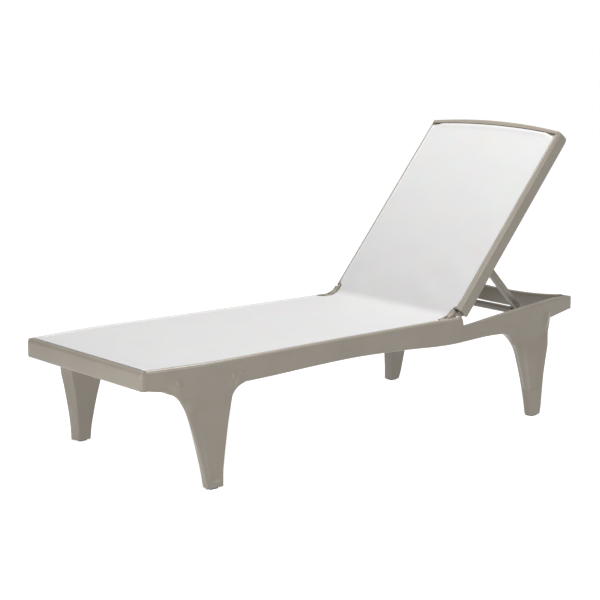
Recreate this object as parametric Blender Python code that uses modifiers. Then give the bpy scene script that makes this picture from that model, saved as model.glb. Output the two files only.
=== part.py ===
"""Reclining sun lounger: moulded resin frame, stretched sling, adjustable backrest.

Units are metres. X runs across the lounger, Y from the foot end (-) to the head end (+),
Z up, with the floor at Z = 0. The backrest pieces are modelled in the backrest's own
frame: x across, y along the backrest from the hinge, z out of its front.
"""
import math

import bmesh
import bpy
from mathutils import Matrix, Vector

# ---- Driving dimensions -------------------------------------------------------------
LENGTH = 1.95                 # foot bar to head bar, outside
RAIL_WIDTH = 0.046            # side rail across, lip and shelf together
LIP = 0.012                   # upstanding lip on the rail's outer side
SEAT_TOP = 0.400              # top of the lip beside the seat
SEAT_SHELF = 0.3947           # shelf that carries the sling's edge
REAR_SHELF = 0.354            # lowered shelf behind the hinge
SEAT_FRONT, SEAT_REAR = -0.9485, 0.352   # ends of the seat sling
SLING = 0.003                 # sling thickness
WELT_R = 0.0025               # radius of the welt along a sling edge
GAP = 0.0003                  # clearance between touching pieces

HINGE_Y, HINGE_Z = 0.387, 0.390
RECLINE = math.radians(50)    # backrest above horizontal in the rest position
PIN_R = 0.006
POCKET_Y = (0.2985, 0.4060)   # stretch of rail lowered for the hinge bracket
POCKET_TOP = 0.372

BACK_LENGTH = 0.812           # hinge to the ends of the top bar
BACK_HALF = 0.333             # half the backrest's width
BACK_REAR, BACK_SHELF, BACK_FRONT = -0.0285, 0.0227, 0.0270
BACK_ARCH = 0.021             # rise of the top bar's crown
SLOT_END, SLOT_ARCH = 0.7965, 0.0145

PROP_PIVOT = 0.252            # backrest hinge to prop pivot
PROP_LENGTH = 0.268           # prop pivot to foot pins
PROP_ANGLE = math.asin(PROP_PIVOT * math.sin(RECLINE) / PROP_LENGTH)   # below horizontal
ARM_X = (0.2623, 0.2923)
ARM_R = 0.011
FOOT_PIN_END = 0.326

PAD = 0.003                   # rubber foot pad thickness
FOOT_X = (0.358, 0.397)       # foot across, at the floor
SIDES = ((1, "right"), (-1, "left"))

# Smooth curves along the rail, as (y, value) stations
RAIL_PLAN = ((-0.975, 0.334), (-0.70, 0.360), (-0.28, 0.347), (0.30, 0.337),
             (0.42, 0.339), (0.72, 0.360), (0.975, 0.334))
RAIL_BOTTOM = ((-0.975, 0.339), (-0.88, 0.3245), (-0.57, 0.317), (-0.13, 0.325),
               (0.11, 0.318), (0.345, 0.306), (0.53, 0.316), (0.62, 0.317),
               (0.84, 0.3425), (0.975, 0.3605))
REAR_TOP = ((0.406, 0.369), (0.49, 0.378), (0.66, 0.401), (0.86, 0.4145), (0.975, 0.410))

# Legs, as (height, front and rear edge outside, front and rear edge inside)
FRONT_LEG = ((0.0, -0.771, -0.709, -0.763, -0.715), (0.05, -0.778, -0.7025, -0.769, -0.712),
             (0.10, -0.7875, -0.692, -0.7765, -0.7055), (0.15, -0.799, -0.680, -0.785, -0.698),
             (0.20, -0.8115, -0.6675, -0.7945, -0.688), (0.235, -0.8215, -0.657, -0.8035, -0.679),
             (0.265, -0.831, -0.647, -0.813, -0.667), (0.290, -0.8405, -0.635, -0.8255, -0.650),
             (0.308, -0.8565, -0.612, -0.850, -0.622), (0.320, -0.884, -0.580, -0.880, -0.584),
             (0.345, -0.886, -0.578, -0.882, -0.582))
BACK_LEG = ((0.0, 0.7005, 0.7455, 0.7065, 0.743), (0.012, 0.699, 0.7515, 0.706, 0.7465),
            (0.04, 0.6948, 0.7605, 0.7035, 0.7532), (0.10, 0.6845, 0.7742, 0.6975, 0.7605),
            (0.15, 0.676, 0.7865, 0.6905, 0.7665), (0.20, 0.6665, 0.802, 0.6812, 0.773),
            (0.235, 0.659, 0.8133, 0.6735, 0.779), (0.264, 0.650, 0.8225, 0.6635, 0.787),
            (0.286, 0.639, 0.8295, 0.650, 0.797), (0.304, 0.622, 0.8355, 0.630, 0.810),
            (0.318, 0.596, 0.840, 0.600, 0.822), (0.350, 0.594, 0.845, 0.598, 0.836))
NOTCHES = (0.634, 0.685, 0.735, 0.780)
SCREW_X, SCREW_Y = 0.326, (0.6595, 0.7575)


# ---- Shape helpers ------------------------------------------------------------------
def smooth(stations, t):
    """Height at t of the cubic curve that runs through the stations."""
    t = min(max(t, stations[0][0]), stations[-1][0])
    last = len(stations) - 1
    k = max(i for i in range(last) if stations[i][0] <= t)

    def slope(i):
        (t0, v0), (t1, v1) = stations[max(i - 1, 0)], stations[min(i + 1, last)]
        return (v1 - v0) / (t1 - t0)

    (t0, v0), (t1, v1) = stations[k], stations[k + 1]
    span = t1 - t0
    u = (t - t0) / span
    return ((2 * u**3 - 3 * u**2 + 1) * v0 + (u**3 - 2 * u**2 + u) * span * slope(k)
            + (3 * u**2 - 2 * u**3) * v1 + (u**3 - u**2) * span * slope(k + 1))


def half_width(y):
    """Half the frame's width at y, to the rail's outer face."""
    return smooth(RAIL_PLAN, y)


def spread(start, end, count):
    """Evenly spaced values from start to end."""
    return [start + (end - start) * i / (count - 1) for i in range(count)]


def arc(centre, radius, start, end, count):
    """Points on a circular arc, angles in degrees."""
    angles = [math.radians(a) for a in spread(start, end, count)]
    return [(centre[0] + radius * math.cos(a), centre[1] + radius * math.sin(a)) for a in angles]


def new_material(name, colour, roughness, metallic=0.0):
    material = bpy.data.materials.new(name)
    material.use_nodes = True
    shader = material.node_tree.nodes["Principled BSDF"]
    shader.inputs["Base Color"].default_value = (*colour, 1.0)
    shader.inputs["Roughness"].default_value = roughness
    shader.inputs["Metallic"].default_value = metallic
    return material


def add_object(name, mesh, finish, parent=None, round_piece=False):
    """Put a mesh in the lounger's collection with its own material."""
    obj = bpy.data.objects.new(name, mesh)
    lounger.objects.link(obj)
    mesh.materials.clear()
    mesh.materials.append(new_material(name, *finish))
    obj.parent = parent
    if round_piece:
        mesh.shade_smooth()
        mesh.set_sharp_from_angle(angle=math.radians(35))
    return obj


def loft(rings):
    """Closed mesh through rings of equal point counts, with a flat cap at each end."""
    bm = bmesh.new()
    loops = [[bm.verts.new(point) for point in ring] for ring in rings]
    count = len(loops[0])
    for near, far in zip(loops, loops[1:]):
        for i in range(count):
            j = (i + 1) % count
            bm.faces.new((near[i], near[j], far[j], far[i]))
    bm.faces.new(loops[0][::-1])
    bm.faces.new(loops[-1])
    bmesh.ops.recalc_face_normals(bm, faces=bm.faces)
    mesh = bpy.data.meshes.new("loft")
    bm.to_mesh(mesh)
    bm.free()
    return mesh


def curve_mesh(curve):
    """Welded mesh of a curve object's shape; the curve itself is removed."""
    obj = bpy.data.objects.new("outline", curve)
    bpy.context.scene.collection.objects.link(obj)
    bpy.context.view_layer.update()
    depsgraph = bpy.context.evaluated_depsgraph_get()
    mesh = bpy.data.meshes.new_from_object(obj.evaluated_get(depsgraph))
    bpy.data.objects.remove(obj)
    bm = bmesh.new()
    bm.from_mesh(mesh)
    bmesh.ops.remove_doubles(bm, verts=bm.verts, dist=0.00001)
    bm.to_mesh(mesh)
    bm.free()
    return mesh


def plate(outline, thickness):
    """Flat outline in local XY, extruded to a thickness about its plane."""
    curve = bpy.data.curves.new("outline", "CURVE")
    curve.dimensions = "2D"
    curve.fill_mode = "BOTH"
    curve.extrude = thickness / 2
    spline = curve.splines.new("POLY")
    spline.points.add(len(outline) - 1)
    for point, (x, y) in zip(spline.points, outline):
        point.co = (x, y, 0, 1)
    spline.use_cyclic_u = True
    return curve_mesh(curve)


def rod_mesh(points, radius):
    """Round rod along points, with filled ends."""
    curve = bpy.data.curves.new("rod", "CURVE")
    curve.dimensions = "3D"
    curve.bevel_depth = radius
    curve.bevel_resolution = 2
    curve.use_fill_caps = True
    spline = curve.splines.new("POLY")
    spline.points.add(len(points) - 1)
    for point, co in zip(spline.points, points):
        point.co = (*co, 1)
    return curve_mesh(curve)


def cylinder_x(radius, x0, x1, segments=24):
    """Cylinder along X between x0 and x1."""
    bm = bmesh.new()
    turn = Matrix.Rotation(math.pi / 2, 4, "Y")
    place = Matrix.Translation(((x0 + x1) / 2, 0, 0)) @ turn
    bmesh.ops.create_cone(bm, cap_ends=True, segments=segments, radius1=radius,
                          radius2=radius, depth=abs(x1 - x0), matrix=place)
    mesh = bpy.data.meshes.new("cylinder")
    bm.to_mesh(mesh)
    bm.free()
    return mesh


def box_mesh(low, high):
    """Box between two corners."""
    bm = bmesh.new()
    size = Vector(high) - Vector(low)
    middle = (Vector(high) + Vector(low)) / 2
    place = Matrix.Translation(middle) @ Matrix.Diagonal((*size, 1))
    bmesh.ops.create_cube(bm, size=1, matrix=place)
    mesh = bpy.data.meshes.new("box")
    bm.to_mesh(mesh)
    bm.free()
    return mesh


def bevel(obj, width, segments=2):
    modifier = obj.modifiers.new("edges", "BEVEL")
    modifier.width = width
    modifier.segments = segments


def boolean(obj, mesh, operation, location=(0, 0, 0), rotation=(0, 0, 0), parent=None):
    """Cut a shape from obj, or join it on."""
    tool = bpy.data.objects.new(f"{obj.name}.{operation.lower()}", mesh)
    cutters.objects.link(tool)
    tool.location, tool.rotation_euler, tool.parent = location, rotation, parent
    tool.hide_render = True
    tool.display_type = "WIRE"
    modifier = obj.modifiers.new(operation.lower(), "BOOLEAN")
    modifier.operation = operation
    modifier.object = tool


# ---- Scene --------------------------------------------------------------------------
for old in list(bpy.data.objects):
    bpy.data.objects.remove(old)
lounger = bpy.data.collections.new("sun_lounger")
cutters = bpy.data.collections.new("cutters")
bpy.context.scene.collection.children.link(lounger)
bpy.context.scene.collection.children.link(cutters)

RESIN = ((0.27, 0.235, 0.195), 0.45)
FABRIC = ((0.80, 0.79, 0.78), 0.85)
RUBBER = ((0.05, 0.05, 0.05), 0.9)
STEEL = ((0.55, 0.54, 0.52), 0.3, 1.0)
SIDEWAYS = (math.pi / 2, 0, math.pi / 2)   # outline in world YZ, extruded along X
UPRIGHT = (math.pi / 2, 0, 0)              # outline in world XZ, extruded along Y

backrest = bpy.data.objects.new("backrest_axis", None)
backrest.location = (0, HINGE_Y, HINGE_Z)
backrest.rotation_euler.x = RECLINE
prop = bpy.data.objects.new("prop_axis", None)
prop.parent = backrest
prop.location = (0, PROP_PIVOT, 0)
prop.rotation_euler.x = -RECLINE - PROP_ANGLE
for axis in (backrest, prop):
    lounger.objects.link(axis)


# ---- Side rails with their legs -----------------------------------------------------
def rail_levels(y):
    """Bottom, top of the lip, shelf and lip thickness of the rail at y."""
    bottom = smooth(RAIL_BOTTOM, y)
    if y < POCKET_Y[0]:
        return bottom, SEAT_TOP, SEAT_SHELF, LIP
    if y < POCKET_Y[1]:
        return bottom, POCKET_TOP, REAR_SHELF, LIP + 0.0025
    top = smooth(REAR_TOP, y)
    if y > 0.951:
        return bottom, top, top - 0.001, LIP
    lip = min(LIP, max(half_width(y) - BACK_HALF - 0.0008, 0.004))
    return bottom, top, REAR_SHELF + 0.0215 * min(max((y - 0.815) / 0.007, 0), 1), lip


def rail_ring(y, side):
    """Section of the rail: rounded outside, a lip, and a shelf on the inner side."""
    bottom, top, shelf, lip = rail_levels(y)
    outer = half_width(y)
    inner = outer - RAIL_WIDTH
    soft = min(0.012, (top - bottom) / 3)
    section = ((inner, bottom + 0.004), (inner + 0.004, bottom), (outer - soft, bottom),
               (outer - soft * 0.3, bottom + soft * 0.3), (outer, bottom + soft),
               (outer, top - soft), (outer - lip * 0.22, top - soft * 0.45),
               (outer - lip * 0.6, top - soft * 0.1), (outer - lip + 0.0005, top),
               (outer - lip, top - 0.0008), (outer - lip, shelf), (inner, shelf))
    return [(side * x, y, z) for x, z in section]


def leg_ring(height, front, rear, inner_front, inner_rear, side):
    """Section of a leg; towards its top it takes the rail's own curve."""
    rise = max(height, PAD + GAP)
    merge = min(max((height - 0.24) / 0.08, 0), 1)
    merge = merge * merge * (3 - 2 * merge)
    splay = max(1 - height / 0.31, 0)
    outer_leg = 0.360 + (FOOT_X[1] - 0.360) * splay
    inner_leg = 0.317 + (FOOT_X[0] - 0.317) * splay
    stations = spread(front, rear, 6)
    corner = 0.006

    def across(y, leg_x, inset):
        rail_x = half_width(y) - inset
        return leg_x + (rail_x - leg_x) * merge

    outer = [(across(y, outer_leg, 0.0006), y) for y in stations]
    stations = spread(inner_front, inner_rear, 6)
    inner = [(across(y, inner_leg, RAIL_WIDTH - 0.0006), y) for y in stations[::-1]]
    for line in (outer, inner):
        step = corner if line is outer else -corner
        line[0] = (line[0][0], line[0][1] + step)
        line[-1] = (line[-1][0], line[-1][1] - step)
    ends = ((outer[-1][0] - corner, rear), (inner[0][0] + corner, inner_rear),
            (inner[-1][0] + corner, inner_front), (outer[0][0] - corner, front))
    ring = outer + list(ends[:2]) + inner + list(ends[2:])
    return [(side * x, y, rise) for x, y in ring]


RAIL_START = -LENGTH / 2 + 0.0208
seat_stations = spread(SEAT_FRONT, POCKET_Y[0] - 0.0001, 18)
rail_stations = ([RAIL_START] + seat_stations + spread(*POCKET_Y, 4)[:3]
                 + [POCKET_Y[1] - 0.0001, POCKET_Y[1] + 0.0001] + spread(0.45, 0.78, 6)
                 + [0.815, 0.822, 0.86, 0.91, 0.9509, 0.9511, 0.965, LENGTH / 2])

for side, word in SIDES:
    rail = add_object(f"side_rail_{word}", loft([rail_ring(y, side) for y in rail_stations]),
                      RESIN, round_piece=True)
    for leg in (FRONT_LEG, BACK_LEG):
        boolean(rail, loft([leg_ring(*station, side) for station in leg]), "UNION")
    for y in SCREW_Y:
        boolean(rail, box_mesh((side * SCREW_X - 0.0023, y - 0.0023, REAR_SHELF - 0.009),
                               (side * SCREW_X + 0.0023, y + 0.0023, REAR_SHELF + 0.01)),
                "DIFFERENCE")

# ---- Foot pads ----------------------------------------------------------------------
for leg, place in ((FRONT_LEG, "front"), (BACK_LEG, "back")):
    for side, word in SIDES:
        middle = (leg[0][1] + leg[0][4]) / 2
        centre = (side * (FOOT_X[0] + FOOT_X[1]) / 2, middle, 0)
        pad = add_object(f"foot_pad_{place}_{word}",
                         box_mesh((-0.016, -0.0165, 0), (0.016, 0.0165, PAD)), RUBBER)
        pad.location = centre

# ---- Foot end bar and head end bar --------------------------------------------------
FOOT_FACE = -LENGTH / 2
FOOT_TOP, FOOT_BOTTOM = 0.4015, 0.336


def foot_bar_ring(x):
    """Section of the foot bar: rounded lip in front, a ledge behind it between the rails."""
    inner = FOOT_FACE + (0.050 if abs(x) < 0.2871 else 0.0205)
    lip = FOOT_FACE + 0.0125
    soft = 0.010
    round_end = max(abs(x) - 0.324, 0) * 0.6
    section = ((FOOT_FACE + soft * 0.6, FOOT_BOTTOM), (FOOT_FACE + round_end, FOOT_BOTTOM + soft),
               (FOOT_FACE + round_end, FOOT_TOP - soft),
               (FOOT_FACE + soft * 0.3 + round_end, FOOT_TOP - soft * 0.3),
               (FOOT_FACE + 0.008, FOOT_TOP), (lip - 0.002, FOOT_TOP), (lip, FOOT_TOP - 0.002),
               (lip, SEAT_SHELF), (inner + 0.0001, SEAT_SHELF), (inner + 0.0001, FOOT_BOTTOM))
    return [(x, y, z) for y, z in section]


bar_x = [-0.334, -0.329, -0.324, -0.2872, -0.2870, 0, 0.2870, 0.2872, 0.324, 0.329, 0.334]
add_object("foot_end_bar", loft([foot_bar_ring(x) for x in bar_x]), RESIN, round_piece=True)

HEAD_Y = (0.9515, LENGTH / 2)


def head_bar_ring(share):
    """Section of the head bar; its top dips and its belly hangs lowest in the middle."""
    low_y, high_y = HEAD_Y
    top = 0.391 + 0.019 * abs(share) ** 2.2
    bottom = 0.332 + 0.030 * share**4
    soft = 0.004
    section = ((low_y, bottom + soft), (low_y + soft, bottom), (high_y - soft, bottom),
               (high_y, bottom + soft), (high_y, top - soft), (high_y - soft, top),
               (low_y + soft, top), (low_y, top - soft))
    return [(share * (half_width(y) - RAIL_WIDTH - 2 * GAP), y, z) for y, z in section]


add_object("head_end_bar", loft([head_bar_ring(s) for s in spread(-1, 1, 17)]), RESIN,
           round_piece=True)


# ---- Cross braces under the seat ----------------------------------------------------
def brace(name, y, top, depth, dip, width):
    """Bar between the rails, bowed down so that the loaded sling stays clear."""
    half = half_width(y) - RAIL_WIDTH - 0.0006
    xs = spread(-half, half, 13)
    upper = [(x, top - dip * (1 - (x / half) ** 2)) for x in xs]
    lower = [(x, z - depth) for x, z in upper[::-1]]
    obj = add_object(name, plate(upper + lower, width), RESIN)
    obj.location.y = y
    obj.rotation_euler = UPRIGHT


brace("mid_cross_brace", -0.20, 0.378, 0.026, 0.016, 0.040)
brace("hinge_cross_brace", 0.322, 0.368, 0.036, 0.010, 0.028)

# ---- Seat sling, its welts and front rod --------------------------------------------
SLING_TAIL = 0.3012           # half the sling's width where it passes the hinge brackets
edge = [(half_width(y) - LIP - 2 * WELT_R - 2 * GAP, y) for y in seat_stations]
edge += [(SLING_TAIL, 0.312), (SLING_TAIL, SEAT_REAR)]
seat = add_object("seat_sling", plate(edge + [(-x, y) for x, y in edge[::-1]], SLING), FABRIC)
seat.location.z = SEAT_SHELF + 0.0005 + SLING / 2

for side, word in SIDES:
    line = [(side * (half_width(y) - LIP - GAP - WELT_R), y, SEAT_SHELF + GAP + WELT_R)
            for y in seat_stations]
    add_object(f"seat_welt_{word}", rod_mesh(line, WELT_R), FABRIC, round_piece=True)
add_object("seat_front_rod",
           rod_mesh([(x, SEAT_FRONT - 0.0031, SEAT_SHELF + GAP + WELT_R) for x in (-0.316, 0.316)],
                    WELT_R), STEEL, round_piece=True)

# ---- Hinge brackets and pins --------------------------------------------------------
CHEEK_X = (0.3234, 0.3365)    # outer plate, which carries the pin
GUIDE_X = (0.3020, 0.3236)    # ramp inside it, beside the sling's bend
HINGE = (HINGE_Y, HINGE_Z)
BRACKET_FOOT = POCKET_TOP + GAP
cheek_outline = ([(0.3005, BRACKET_FOOT), (0.3005, 0.3995), (0.370, 0.3995), (0.3765, 0.4045)]
                 + arc(HINGE, 0.0175, 100, -60, 11) + [(0.3960, BRACKET_FOOT)])
guide_outline = ([(0.3745, BRACKET_FOOT), (0.316, BRACKET_FOOT), (0.316, 0.3990),
                  (0.330, 0.4010), (0.345, 0.4045), (0.3585, 0.4105), (0.368, 0.4185),
                  (0.3748, 0.4268), (0.3795, 0.4212), (0.3735, 0.4073)]
                 + arc(HINGE, 0.0195, 155, 238, 6))

for side, word in SIDES:
    middle = side * sum(CHEEK_X) / 2
    bracket = add_object(f"hinge_bracket_{word}",
                         plate(cheek_outline, CHEEK_X[1] - CHEEK_X[0]), RESIN)
    bracket.location.x = middle
    bracket.rotation_euler = SIDEWAYS
    boolean(bracket, plate(guide_outline, GUIDE_X[1] - GUIDE_X[0]), "UNION",
            (side * sum(GUIDE_X) / 2, 0, 0), SIDEWAYS)
    boolean(bracket, cylinder_x(PIN_R + GAP, -0.02, 0.02), "DIFFERENCE",
            (middle, HINGE_Y, HINGE_Z))
    pin = add_object(f"hinge_pin_{word}", cylinder_x(PIN_R, side * 0.296, side * 0.3362),
                     STEEL, round_piece=True)
    pin.location = (0, HINGE_Y, HINGE_Z)

# ---- Notch racks and their screws ---------------------------------------------------
RACK_X = (0.312, 0.340)
TOOTH_TOP, NOTCH_Z = 0.378, 0.366
rack_outline = [(0.8125, REAR_SHELF + GAP), (0.612, REAR_SHELF + GAP), (0.612, TOOTH_TOP)]
for y in NOTCHES:
    rack_outline += [(y - 0.011, TOOTH_TOP), (y - 0.006, NOTCH_Z + 0.002), (y, NOTCH_Z),
                     (y + 0.006, NOTCH_Z + 0.002), (y + 0.011, TOOTH_TOP)]
rack_outline.append((0.8125, TOOTH_TOP))


def screw_mesh():
    """Pan-head screw on the Z axis, its head's underside at z = 0."""
    bm = bmesh.new()
    for radius, low, high in ((0.0019, -0.030, 0.0005), (0.0045, 0.0, 0.0022)):
        bmesh.ops.create_cone(bm, cap_ends=True, segments=16, radius1=radius, radius2=radius,
                              depth=high - low,
                              matrix=Matrix.Translation((0, 0, (low + high) / 2)))
        if radius < 0.003:
            mesh = bpy.data.meshes.new("shank")
            bm.to_mesh(mesh)
            bm.clear()
    head = bpy.data.meshes.new("head")
    bm.to_mesh(head)
    bm.free()
    return mesh, head


for side, word in SIDES:
    rack = add_object(f"notch_rack_{word}", plate(rack_outline, RACK_X[1] - RACK_X[0]), RESIN)
    rack.location.x = side * sum(RACK_X) / 2
    rack.rotation_euler = SIDEWAYS
    for y, place in zip(SCREW_Y, ("front", "back")):
        spot = (side * SCREW_X, y, TOOTH_TOP + GAP)
        boolean(rack, box_mesh((-0.0023, -0.0023, -0.03), (0.0023, 0.0023, 0.01)),
                "DIFFERENCE", spot)
        shank, head = screw_mesh()
        screw = add_object(f"rack_screw_{place}_{word}", head, STEEL, round_piece=True)
        screw.location = spot
        boolean(screw, shank, "UNION", spot)


# ---- Backrest rails -----------------------------------------------------------------
RAIL_TIP = 0.030              # where the full section starts, clear of the bracket
FLANGE_X = 0.248
DEEP_X = 0.293
SHELF_END = 0.7955


def back_ring(s, side):
    """Section of a backrest rail: deep outer web, chamfered front edge, inner flange."""
    close = max(s - 0.800, 0) * 0.5
    web, flange = (DEEP_X, FLANGE_X) if s <= SHELF_END + 0.0001 else (0.3218, 0.3216)
    section = ((flange, 0.0125), (web, 0.0125), (web + 0.0001, BACK_REAR + 0.004 + close),
               (web + 0.004, BACK_REAR + close), (BACK_HALF - 0.005, BACK_REAR + close),
               (BACK_HALF, BACK_REAR + 0.005 + close), (BACK_HALF - close * 0.5, -0.002),
               (BACK_HALF - 0.0025, 0.010), (0.3275, 0.0215), (0.3235, BACK_FRONT),
               (0.3218, BACK_FRONT - 0.001), (0.3218, BACK_SHELF), (flange, BACK_SHELF - 0.0001))
    return [(side * x, s, n) for x, n in section]


back_stations = [RAIL_TIP, 0.1, 0.25, 0.4, 0.55, 0.7, SHELF_END, SHELF_END + 0.0002,
                 0.803, 0.808, BACK_LENGTH]
tongue_outline = arc((0, 0), 0.018, 90, 270, 9) + [(0.058, -0.018), (0.058, 0.018)]

for side, word in SIDES:
    rail = add_object(f"backrest_rail_{word}", loft([back_ring(s, side) for s in back_stations]),
                      RESIN, backrest, round_piece=True)
    boolean(rail, plate(tongue_outline, 0.0290), "UNION", (side * 0.3080, 0, 0), SIDEWAYS,
            backrest)
    boolean(rail, cylinder_x(PIN_R + GAP, 0.28, 0.335), "DIFFERENCE",
            rotation=(0, 0, 0 if side > 0 else math.pi), parent=backrest)
    boolean(rail, cylinder_x(PIN_R + GAP, side * 0.28, side * 0.3085), "DIFFERENCE",
            (0, PROP_PIVOT, 0), parent=backrest)


# ---- Backrest top bar and lower brace -----------------------------------------------
def crown(x):
    """Share of the arch's rise at x: 1 in the middle and 0 at the ends."""
    return 1 - (x / 0.322) ** 2


def slot_line(x):
    """Where the back sling's top edge disappears, measured from the hinge."""
    return SLOT_END + SLOT_ARCH * crown(x)


def top_ring(x):
    """Section of the top bar: a shelf behind the sling and a lip beyond the slot."""
    top = BACK_LENGTH + BACK_ARCH * crown(x)
    slot = slot_line(x) + 0.0005
    low = 0.742 if abs(x) < 0.2476 else SHELF_END + 0.0004
    section = ((low, -0.018), (top - 0.005, -0.018), (top, -0.013), (top, 0.021),
               (top - 0.0015, 0.0255), (top - 0.005, BACK_FRONT), (slot, BACK_FRONT),
               (slot, BACK_SHELF - 0.0005), (low, BACK_SHELF - 0.0005))
    return [(x, s, n) for s, n in section]


top_x = spread(-0.3214, -0.2477, 4) + spread(-0.2475, 0.2475, 13) + spread(0.2477, 0.3214, 4)
add_object("backrest_top_bar", loft([top_ring(x) for x in top_x]), RESIN, backrest,
           round_piece=True)

brace_x = spread(-FLANGE_X + 0.0004, FLANGE_X - 0.0004, 15)
upper = [(x, 0.180 + 0.058 * (x / FLANGE_X) ** 2) for x in brace_x]
lower = [(x, s - 0.030 - 0.008 * abs(x) / FLANGE_X) for x, s in upper[::-1]]
lower_brace = add_object("backrest_lower_brace", plate(upper + lower, 0.022), RESIN, backrest)
lower_brace.location.z = 0.0112

# ---- Back sling, its welts and top rod ----------------------------------------------
SLING_HALF = 0.3218 - GAP - 2 * WELT_R - GAP
tops = [(x, slot_line(x) - 0.0061) for x in spread(SLING_HALF, -SLING_HALF, 13)]
tail = [(-SLING_HALF, 0.034), (-SLING_TAIL, 0.030), (-SLING_TAIL, 0.004)]
tail += [(-x, s) for x, s in tail[::-1]]
back = add_object("back_sling", plate(tail + tops, SLING), FABRIC, backrest)
back.location.z = BACK_SHELF + GAP + SLING / 2

for side, word in SIDES:
    line = [(side * (0.3218 - GAP - WELT_R), s, BACK_SHELF + GAP + WELT_R)
            for s in (RAIL_TIP, 0.3, 0.55, SHELF_END - 0.006)]
    add_object(f"back_welt_{word}", rod_mesh(line, WELT_R), FABRIC, backrest, round_piece=True)
rod_line = [(x, slot_line(x) - 0.0029, BACK_SHELF + GAP + WELT_R) for x in spread(-0.312, 0.312, 13)]
add_object("back_top_rod", rod_mesh(rod_line, WELT_R), STEEL, backrest, round_piece=True)

# ---- Prop: pivot pins, arms, foot bar and rod ---------------------------------------
arm_outline = (arc((0, 0), ARM_R, 90, 270, 9) + arc((PROP_LENGTH, 0), ARM_R, -90, 90, 9))

for side, word in SIDES:
    pin = add_object(f"prop_pivot_pin_{word}", cylinder_x(PIN_R, side * 0.2580, side * 0.3080),
                     STEEL, backrest, round_piece=True)
    pin.location.y = PROP_PIVOT
    boolean(pin, cylinder_x(0.0095, side * 0.2570, side * 0.2620), "UNION",
            (0, PROP_PIVOT, 0), parent=backrest)
    arm = add_object(f"prop_arm_{word}", plate(arm_outline, ARM_X[1] - ARM_X[0]), RESIN, prop)
    arm.location.x = side * sum(ARM_X) / 2
    arm.rotation_euler = SIDEWAYS
    for y in (0, PROP_LENGTH):
        boolean(arm, cylinder_x(PIN_R + GAP, -0.03, 0.03), "DIFFERENCE",
                (side * sum(ARM_X) / 2, y, 0), parent=prop)
    foot_pin = add_object(f"prop_foot_pin_{word}",
                          cylinder_x(PIN_R, side * (ARM_X[0] + GAP), side * FOOT_PIN_END),
                          STEEL, prop, round_piece=True)
    foot_pin.location.y = PROP_LENGTH

foot_bar = add_object("prop_foot_bar",
                      box_mesh((-ARM_X[0] + GAP, -0.011, -0.0285), (ARM_X[0] - GAP, 0.011, -0.0055)),
                      RESIN, prop)
foot_bar.location.y = PROP_LENGTH
foot_bar.rotation_euler.x = PROP_ANGLE
bevel(foot_bar, 0.004)
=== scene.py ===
"""Sun lounger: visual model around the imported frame, built piece by piece in assembly order.

Metres; X across, Y towards the head end, Z up, floor at Z = 0. Backrest pieces are worked
out in the backrest's own frame (x across, s along it from the hinge, n out of its front).
"""

import math

import bmesh
import bpy
import numpy as np
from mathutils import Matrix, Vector


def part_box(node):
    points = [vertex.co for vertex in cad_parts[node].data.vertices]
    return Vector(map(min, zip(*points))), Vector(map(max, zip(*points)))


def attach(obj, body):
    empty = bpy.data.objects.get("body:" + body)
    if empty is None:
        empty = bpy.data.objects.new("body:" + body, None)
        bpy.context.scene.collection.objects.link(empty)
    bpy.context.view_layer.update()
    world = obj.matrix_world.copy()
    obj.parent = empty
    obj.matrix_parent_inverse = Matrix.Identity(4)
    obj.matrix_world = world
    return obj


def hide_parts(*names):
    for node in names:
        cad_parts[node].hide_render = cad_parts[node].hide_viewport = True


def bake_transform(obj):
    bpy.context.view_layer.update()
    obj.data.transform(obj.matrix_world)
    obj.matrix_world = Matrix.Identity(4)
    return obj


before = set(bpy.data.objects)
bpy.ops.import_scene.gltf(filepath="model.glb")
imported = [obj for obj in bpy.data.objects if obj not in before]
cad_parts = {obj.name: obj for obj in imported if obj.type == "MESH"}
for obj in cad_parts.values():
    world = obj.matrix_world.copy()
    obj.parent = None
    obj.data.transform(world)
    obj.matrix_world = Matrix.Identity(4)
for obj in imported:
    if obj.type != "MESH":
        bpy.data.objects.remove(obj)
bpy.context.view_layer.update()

# ---- Side rails with their legs -----------------------------------------------------
# Each long side is one moulding of filled resin: a beam with an upstanding lip outside, a
# shelf inside it that carries the sling, and two splayed legs that grow out of the beam in
# wide fillets. Both sides come from mirrored moulds and are bolted to the end bars.
RAIL_PLAN = ((-0.975, 0.334), (-0.70, 0.360), (-0.28, 0.347), (0.30, 0.337),
             (0.42, 0.339), (0.72, 0.360), (0.975, 0.334))
RAIL_BELLY = ((-0.975, 0.339), (-0.88, 0.3245), (-0.57, 0.317), (-0.13, 0.325),
              (0.11, 0.318), (0.345, 0.306), (0.53, 0.316), (0.62, 0.317),
              (0.84, 0.3425), (0.975, 0.3605))
REAR_TOP = ((0.406, 0.369), (0.49, 0.378), (0.66, 0.401), (0.86, 0.4145), (0.975, 0.410))
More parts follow.
